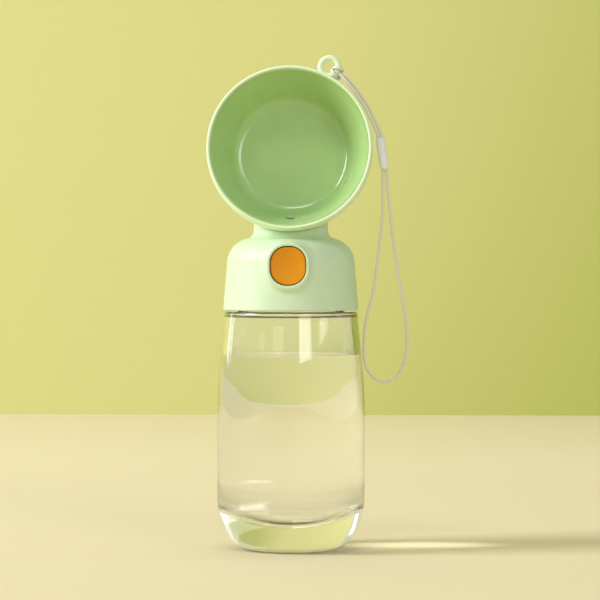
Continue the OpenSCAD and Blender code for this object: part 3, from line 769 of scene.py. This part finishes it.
def make_bead():
    top, end = np.array([41.9, -9, 193.0]), np.array([44.0, -9, 178.4])
    axis = (end - top) / np.linalg.norm(end - top)
    side = np.array([-axis[2], 0, axis[0]])
    side /= np.linalg.norm(side)
    deep = np.cross(axis, side)

    def place(p):
        return top + p[:, :1] * side + p[:, 1:2] * deep + p[:, 2:3] * axis

    def field(p):
        x, y, z = p.T
        taper = 0.28 * np.clip((3.5 - z) / 3.5, 0, 1) ** 2
        swell = BEAD_D / 2 - taper - 0.12 * np.clip((z - 11) / 3.8, 0, 1) ** 2
        f = np.hypot(x, y) - swell
        f = meet_round(f, np.maximum(-z, z - BEAD_L), 0.7)
        hole = np.hypot(np.maximum(np.abs(x) - 0.8, 0), y) - (CORD_D / 2 + 0.12)
        return cut_round(f, hole, 0.2)

    reach, end_room = 2.6, 0.4
    bead = skin("lanyard_sleeve", field, (-reach, -reach, -end_room), (reach, reach, BEAD_L + end_room), 0.16,
                [BEAD], place)
    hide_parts("lanyard_bead")
    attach(bead, "lid")
    return bead


cord, cord_line = make_cord()
hitch = make_hitch()
bead = make_bead()


# ---------------------------------------------------------------- the bottle and its water
def make_bottle():
    inner_shoulder = SHOULDER_Z - SHOULDER_T
    outer_arc = float(body_radius(SHOULDER_Z - SHOULDER_FILLET)) - SHOULDER_FILLET
    inner_arc = float(body_radius(inner_shoulder - INNER_FILLET)) - BODY_WALL - INNER_FILLET
    hollow_foot = FOOT_R - 1.5
    outline = [(0, FOOT_HOLLOW)]
    outline += [(r, FOOT_HOLLOW * (1 - (r / hollow_foot) ** 2) ** 2) for r in np.linspace(2, hollow_foot, 12)]
    outline += arc(FOOT_R, CORNER_H, float(body_radius(CORNER_H)) - FOOT_R, CORNER_H, -90, 0, 48)
    heights = np.arange(CORNER_H + 1.5, SHOULDER_Z - SHOULDER_FILLET - 1, 1.5)
    outline += [(float(body_radius(z)), z) for z in heights]
    outline += arc(outer_arc, SHOULDER_Z - SHOULDER_FILLET, SHOULDER_FILLET, SHOULDER_FILLET, 0, 90, 16)
    outline += [(outer_arc - 0.3, SHOULDER_Z), (NECK_R + 0.9, SHOULDER_Z), (NECK_R + 0.6, SHOULDER_Z),
                (NECK_R + 0.1, SHOULDER_Z + 0.2), (NECK_R, SHOULDER_Z + 0.7), (NECK_R, SHOULDER_Z + 1),
                (NECK_R, MOUTH_Z - 0.8), (NECK_R, MOUTH_Z - 0.5), (NECK_R - 0.5, MOUTH_Z),
                (MOUTH_R + 0.5, MOUTH_Z), (MOUTH_R, MOUTH_Z - 0.5), (MOUTH_R, MOUTH_Z - 0.8)]
    outline += [(MOUTH_R, inner_shoulder + 0.5), (MOUTH_R, inner_shoulder + 0.2),
                (MOUTH_R + 0.06, inner_shoulder + 0.06), (MOUTH_R + 0.2, inner_shoulder),
                (MOUTH_R + 0.5, inner_shoulder), (inner_arc - 0.3, inner_shoulder)]
    outline += arc(inner_arc, inner_shoulder - INNER_FILLET, INNER_FILLET, INNER_FILLET, 90, 0, 14)
    heights = np.arange(inner_shoulder - INNER_FILLET - 1.5, WATER_Z + 1.5, -1.5).tolist() + [WATER_Z]
    heights += np.arange(WATER_Z - 1.5, HOLLOW_TOP + 1, -1.5).tolist()
    outline += [(float(body_radius(z)) - BODY_WALL, z) for z in heights]
    outline += arc(0, HOLLOW_TOP, HOLLOW_TOP_R, HOLLOW_H, 0, -90, 60)[:-1] + [(0, BASE_T)]
    inside = len(outline) - 1
    wet = [i for i, (r, z) in enumerate(outline) if abs(z - WATER_Z) < 1e-6][-1]
    rings = [0 if i < wet else 1 for i in range(inside)]
    bottle = spin("bottle_shell", outline, [CLEAR, CLEAR_WET], 256, rings=rings)
    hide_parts("bottle_body")
    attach(bottle, "bottle")


def make_thread():
    """The screw thread on the bottle's neck."""
    turns, pitch, root, crest, z0 = 1.25, 3.4, NECK_R, 25.8, 114.3
    steps = 180
    verts, faces = [], []
    for i in range(steps + 1):
        t = turns * i / steps
        a = 2 * math.pi * t
        grow = min(1.0, min(i, steps - i) / 20 + 0.25)
        rc = root + (crest - root) * grow
        for r, dz in ((root - 0.3, -0.85), (root + 0.1, -0.8), (rc - 0.15, -0.5), (rc, -0.35), (rc, 0.35),
                      (rc - 0.15, 0.5), (root + 0.1, 0.8), (root - 0.3, 0.85)):
            verts.append((r * math.cos(a), r * math.sin(a), z0 + pitch * t + dz))
    m = 8
    for i in range(steps):
        for j in range(m):
            k = (j + 1) % m
            faces.append((i * m + j, (i + 1) * m + j, (i + 1) * m + k, i * m + k))
    faces.append(tuple(range(m)))
    faces.append(tuple(steps * m + j for j in range(m - 1, -1, -1)))
    thread = add_mesh("neck_thread", verts, faces, [CLEAR])
    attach(thread, "bottle")


def make_water():
    """The water, a hair inside the wall, with a small meniscus."""
    floor = arc(0, HOLLOW_TOP, HOLLOW_TOP_R - WATER_GAP, HOLLOW_H - WATER_GAP, -90, 0, 60)
    outline = [(0, BASE_T + WATER_GAP)] + floor[1:]
    heights = np.arange(HOLLOW_TOP + 1.5, WATER_Z - 0.5, 1.5)
    outline += [(float(body_radius(z)) - BODY_WALL - WATER_GAP, z) for z in heights]
    edge = float(body_radius(WATER_Z)) - BODY_WALL - WATER_GAP
    sides = len(outline)
    outline += [(edge, WATER_Z)]
    level = WATER_Z - MENISCUS
    for s in (0.12, 0.3, 0.55, 0.9, 1.4, 2.0, 2.8, 3.8, 5.2, 7.5, 11, 16, 22, 27):
        outline.append((edge - s, level + MENISCUS * math.exp(-s)))
    outline.append((0, level))
    rings = [1 if i < sides else 0 for i in range(len(outline) - 1)]
    water = spin("water", outline, [water_material(), water_side_material()], 256, rings=rings)
    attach(water, "bottle")


make_bottle()
make_thread()
make_water()


# ---------------------------------------------------------------- the lid and its button
def make_lid():
    lid = skin("lid_cover", lid_field, (-33, -33.6, 111.8), (33, 33, 171), 0.55, [MINT])
    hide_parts("lid_shell")
    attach(lid, "lid")
    low, high = (-8.8, -32.4, 123.6), (8.8, CARRIER_Y + 0.6, 143.2)
    cap = skin("button_pad", button_field, low, high, 0.3, [ORANGE])
    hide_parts("button_cap")
    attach(cap, "button")


make_lid()


# ---------------------------------------------------------------- the bowl
def make_bowl():
    lip = LIP_T / 2
    outline = [(0, -BOWL_DEPTH)] + [(r, -BOWL_DEPTH) for r in (6, 12, 18)]
    outline += arc(BOWL_R - BOWL_FILLET, BOWL_ROUND - BOWL_DEPTH, BOWL_FILLET, BOWL_ROUND, -90, 0, 48)
    for t in np.linspace(0, 1, 10)[1:-1]:
        ease = t * t * (3 - 2 * t)
        outline.append((BOWL_R + (LIP_R - BOWL_R) * ease, -LIP_LEN + (LIP_LEN - lip) * t))
    outline += arc(LIP_R - lip, -lip, lip, lip, 0, 180, 18)
    outline.append((LIP_R - LIP_T, -LIP_LEN + 2))
    outline += arc(BOWL_R - BOWL_FILLET, BOWL_ROUND - BOWL_DEPTH, BOWL_FILLET - BOWL_WALL,
                   BOWL_ROUND - BOWL_WALL, 0, -90, 24)
    outline.append((0, BOWL_WALL - BOWL_DEPTH))
    bowl = spin("bowl_cover", outline, [PALE_MINT], 256, turn=from_bowl)
    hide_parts("bowl_shell")
    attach(bowl, "lid")
    centre = np.array([EYE_R * math.sin(EYE_ANGLE), EYE_R * math.cos(EYE_ANGLE), -EYE_BACK])
    room = 9.2
    eye = skin("lanyard_eye", eye_field, centre - room, centre + room, 0.25, [PALE_MINT], from_bowl)
    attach(eye, "lid")


make_bowl()


def liner_slant(rim, r):
    """Angle at which the liner's slanted wall meets its corner of radius r."""
    x = rim - LINER_FLOOR
    y = LINER_DEPTH - LINER_FILLET - LINER_RECESS - LINER_LAND
    return math.degrees(math.atan2(y, x) - math.acos(r / math.hypot(x, y)))


def make_liner():
    rim, outer, low = LINER_R - LINER_EDGE, LINER_FILLET + LINER_WALL, -LINER_RECESS - LINER_LAND
    corner_z = LINER_FILLET - LINER_DEPTH
    outline = [(0, -LINER_DEPTH - LINER_WALL)] + [(r, -LINER_DEPTH - LINER_WALL) for r in (6, 12, 18)]
    outline += arc(LINER_FLOOR, corner_z, outer, outer, -90, liner_slant(LINER_R, outer), 20)
    outline += [(LINER_R, low), (LINER_R, -LINER_RECESS - 0.15), (LINER_R - 0.1, -LINER_RECESS),
                (rim + 0.1, -LINER_RECESS), (rim, -LINER_RECESS - 0.15), (rim, low + 0.9)]
    corner = arc(LINER_FLOOR, corner_z, LINER_FILLET, LINER_FILLET, liner_slant(rim, LINER_FILLET), -90, 24)
    wall = np.array(corner[0]) - (rim, low)
    outline += [(rim - 0.05, low + 0.3)]
    outline += [tuple(np.array((rim, low)) + wall * t) for t in np.linspace(0.04, 1, 12)[:-1]]
    outline += corner + [(r, -LINER_DEPTH) for r in (20, 14, 8, 3)] + [(0, -LINER_DEPTH)]
    liner = spin("bowl_lining", outline, [LINER], 256, turn=from_bowl)
    drill = spin("drill", [(0, 150), (OUTLET_R, 150), (OUTLET_R, 172), (0, 172)], [LINER], 48,
                 turn=lambda p: p + np.array([0, -DUCT_Y, 0]))
    cut = liner.modifiers.new("outlet", "BOOLEAN")
    cut.operation = "DIFFERENCE"
    cut.object = drill
    cut.solver = "EXACT"
    bpy.context.view_layer.update()
    graph = bpy.context.evaluated_depsgraph_get()
    made = bpy.data.meshes.new_from_object(liner.evaluated_get(graph))
    liner.modifiers.clear()
    liner.data = made
    bpy.data.objects.remove(drill)
    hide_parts("bowl_liner")
    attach(liner, "lid")


make_liner()

# ---------------------------------------------------------------- materials of the CAD nodes that stay
FINISH = {
    "mouth_seal": SILICONE, "thread_insert": WHITE, "valve_housing": WHITE, "housing_gasket": SILICONE,
    "housing_screws": STEEL, "water_duct": SILICONE, "valve_stem": WHITE, "valve_plug": SILICONE,
    "plug_retainer": WHITE, "stem_seal": SILICONE, "valve_spring": STEEL, "button_slide": WHITE,
    "button_spring": STEEL}
for node, mat in FINISH.items():
    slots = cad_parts[node].data.materials
    if len(slots):
        for i in range(len(slots)):
            slots[i] = mat
    else:
        slots.append(mat)


# ---------------------------------------------------------------- floor, wall and light
def quad(name, corners, mat):
    mesh = bpy.data.meshes.new(name)
    mesh.from_pydata(corners, [], [tuple(range(len(corners)))])
    mesh.materials.append(mat)
    obj = bpy.data.objects.new(name, mesh)
    bpy.context.scene.collection.objects.link(obj)
    return obj


# In metres
WALL_Y = 1.143
WALL_H = 3.0
STAGE_HALF = 1.35
STAGE_FRONT = -3.0


def floor_material():
    """Paper with painted light on it: a little paler towards the back, in broad soft patches."""
    m = Mat("table_paper", Roughness=0.9)
    m.set("Specular IOR Level", 0.15)
    at = m.nodes.new("ShaderNodeSeparateXYZ")
    m.links.new(m.where(), at.inputs["Vector"])
    away = m.math("MULTIPLY", at.outputs["Y"], 0.5)
    shade = m.math("ADD", away, m.math("MULTIPLY", m.noise(1.2, 2.0), 0.2))
    # painted light: darker towards the front and paler towards the back, with soft uneven patches
    m.colour(m.ramp(shade, [(0.0, srgb(226, 213, 174)), (0.4, srgb(240, 228, 193))]))
    m.bump(m.noise(1500, 3.0), 0.15, 0.00005)
    return m.mat


def wall_material():
    """Paper that is lit a little less towards its right and its foot."""
    m = Mat("backdrop_paper", Roughness=0.95)
    m.set("Specular IOR Level", 0.1)
    at = m.nodes.new("ShaderNodeSeparateXYZ")
    m.links.new(m.where(), at.inputs["Vector"])
    across = m.math("MULTIPLY", at.outputs["X"], 1.5)
    down = m.math("MULTIPLY", at.outputs["Z"], -0.5)
    shade = m.math("ADD", m.math("ADD", across, down), m.math("MULTIPLY", m.noise(1.6, 2.0), 0.3))
    m.colour(m.ramp(shade, [(0.0, srgb(213, 213, 143)), (0.55, srgb(185, 193, 101))]))
    return m.mat


quad("floor", [(-STAGE_HALF, STAGE_FRONT, 0), (STAGE_HALF, STAGE_FRONT, 0),
               (STAGE_HALF, WALL_Y, 0), (-STAGE_HALF, WALL_Y, 0)], floor_material())
quad("backdrop", [(-STAGE_HALF, WALL_Y, 0), (STAGE_HALF, WALL_Y, 0),
                  (STAGE_HALF, WALL_Y, WALL_H), (-STAGE_HALF, WALL_Y, WALL_H)], wall_material())


def hang(data, end, way, distance):
    """Hangs a lamp at a distance from the point end, on the side that way points to."""
    lamp = bpy.data.objects.new(data.name, data)
    bpy.context.scene.collection.objects.link(lamp)
    lamp.location = Vector(end) + way * distance
    lamp.rotation_mode = "QUATERNION"
    lamp.rotation_quaternion = (-way).to_track_quat("-Z", "Y")
    return lamp


def area_light(name, azimuth, elevation, distance, width, height, energy, colour=(1, 1, 1), aim=(0, 0, 0.12)):
    """A soft light; azimuth is in degrees from the front, positive to the right."""
    data = bpy.data.lights.new(name, "AREA")
    data.energy = energy
    data.color = colour
    data.shape = "RECTANGLE"
    data.size = width
    data.size_y = height
    a, e = math.radians(azimuth), math.radians(elevation)
    way = Vector((math.sin(a) * math.cos(e), -math.cos(a) * math.cos(e), math.sin(e)))
    return hang(data, aim, way, distance)


def focus_light():
    """The streak that the bottle's foot gathers on the floor beside it."""
    data = bpy.data.lights.new("focus", "SPOT")
    data.energy = 36
    data.spot_size = math.radians(2.6)
    data.spot_blend = 1.0
    data.shadow_soft_size = 0.004
    elevation = math.radians(24)
    hang(data, (0.062, 0.022, 0), Vector((math.cos(elevation), 0.02, math.sin(elevation))), 0.8)


def make_world():
    """One grey that lights the object, and a paler one that shows behind it and in its reflections."""
    world = bpy.data.worlds.new("studio")
    bpy.context.scene.world = world
    world.use_nodes = True
    nodes, links = world.node_tree.nodes, world.node_tree.links
    back = nodes["Background"]
    path = nodes.new("ShaderNodeLightPath")
    seen = path.outputs["Is Camera Ray"]
    for ray in ("Is Glossy Ray", "Is Transmission Ray"):
        either = nodes.new("ShaderNodeMath")
        either.operation = "MAXIMUM"
        links.new(seen, either.inputs[0])
        links.new(path.outputs[ray], either.inputs[1])
        seen = either.outputs[0]
    colour = nodes.new("ShaderNodeMix")
    colour.data_type = "RGBA"
    colour.inputs["A"].default_value = (0.325, 0.328, 0.3, 1)
    colour.inputs["B"].default_value = (0.72, 0.75, 0.6, 1)
    links.new(seen, colour.inputs["Factor"])
    links.new(colour.outputs["Result"], back.inputs["Color"])


make_world()
key = area_light("key", -75, 28, 3.0, 1.1, 1.5, 86, (1.0, 0.985, 0.99))
key.visible_transmission = False
focus_light()
NEAR = 1.6
area_light("edge_left", -122, 12, NEAR, 0.2, 0.6, 0.7)
area_light("strip", 26.5, 10.4, NEAR, 0.56, 0.19, 0.7)
area_light("fill", 29, 18, NEAR, 0.4, 0.26, 1.2)
area_light("patch_right", 60, 10, NEAR, 0.4, 0.16, 0.28)
area_light("high_right", 30, 23, NEAR, 0.62, 0.62, 2.6)
area_light("front_top", -14, 57, NEAR, 0.5, 0.24, 3.0)
area_light("overhead", 0, 97, NEAR, 0.85, 0.2, 2.4, aim=(0.18, 0, 0.12))

bpy.context.scene.view_settings.view_transform = "Standard"
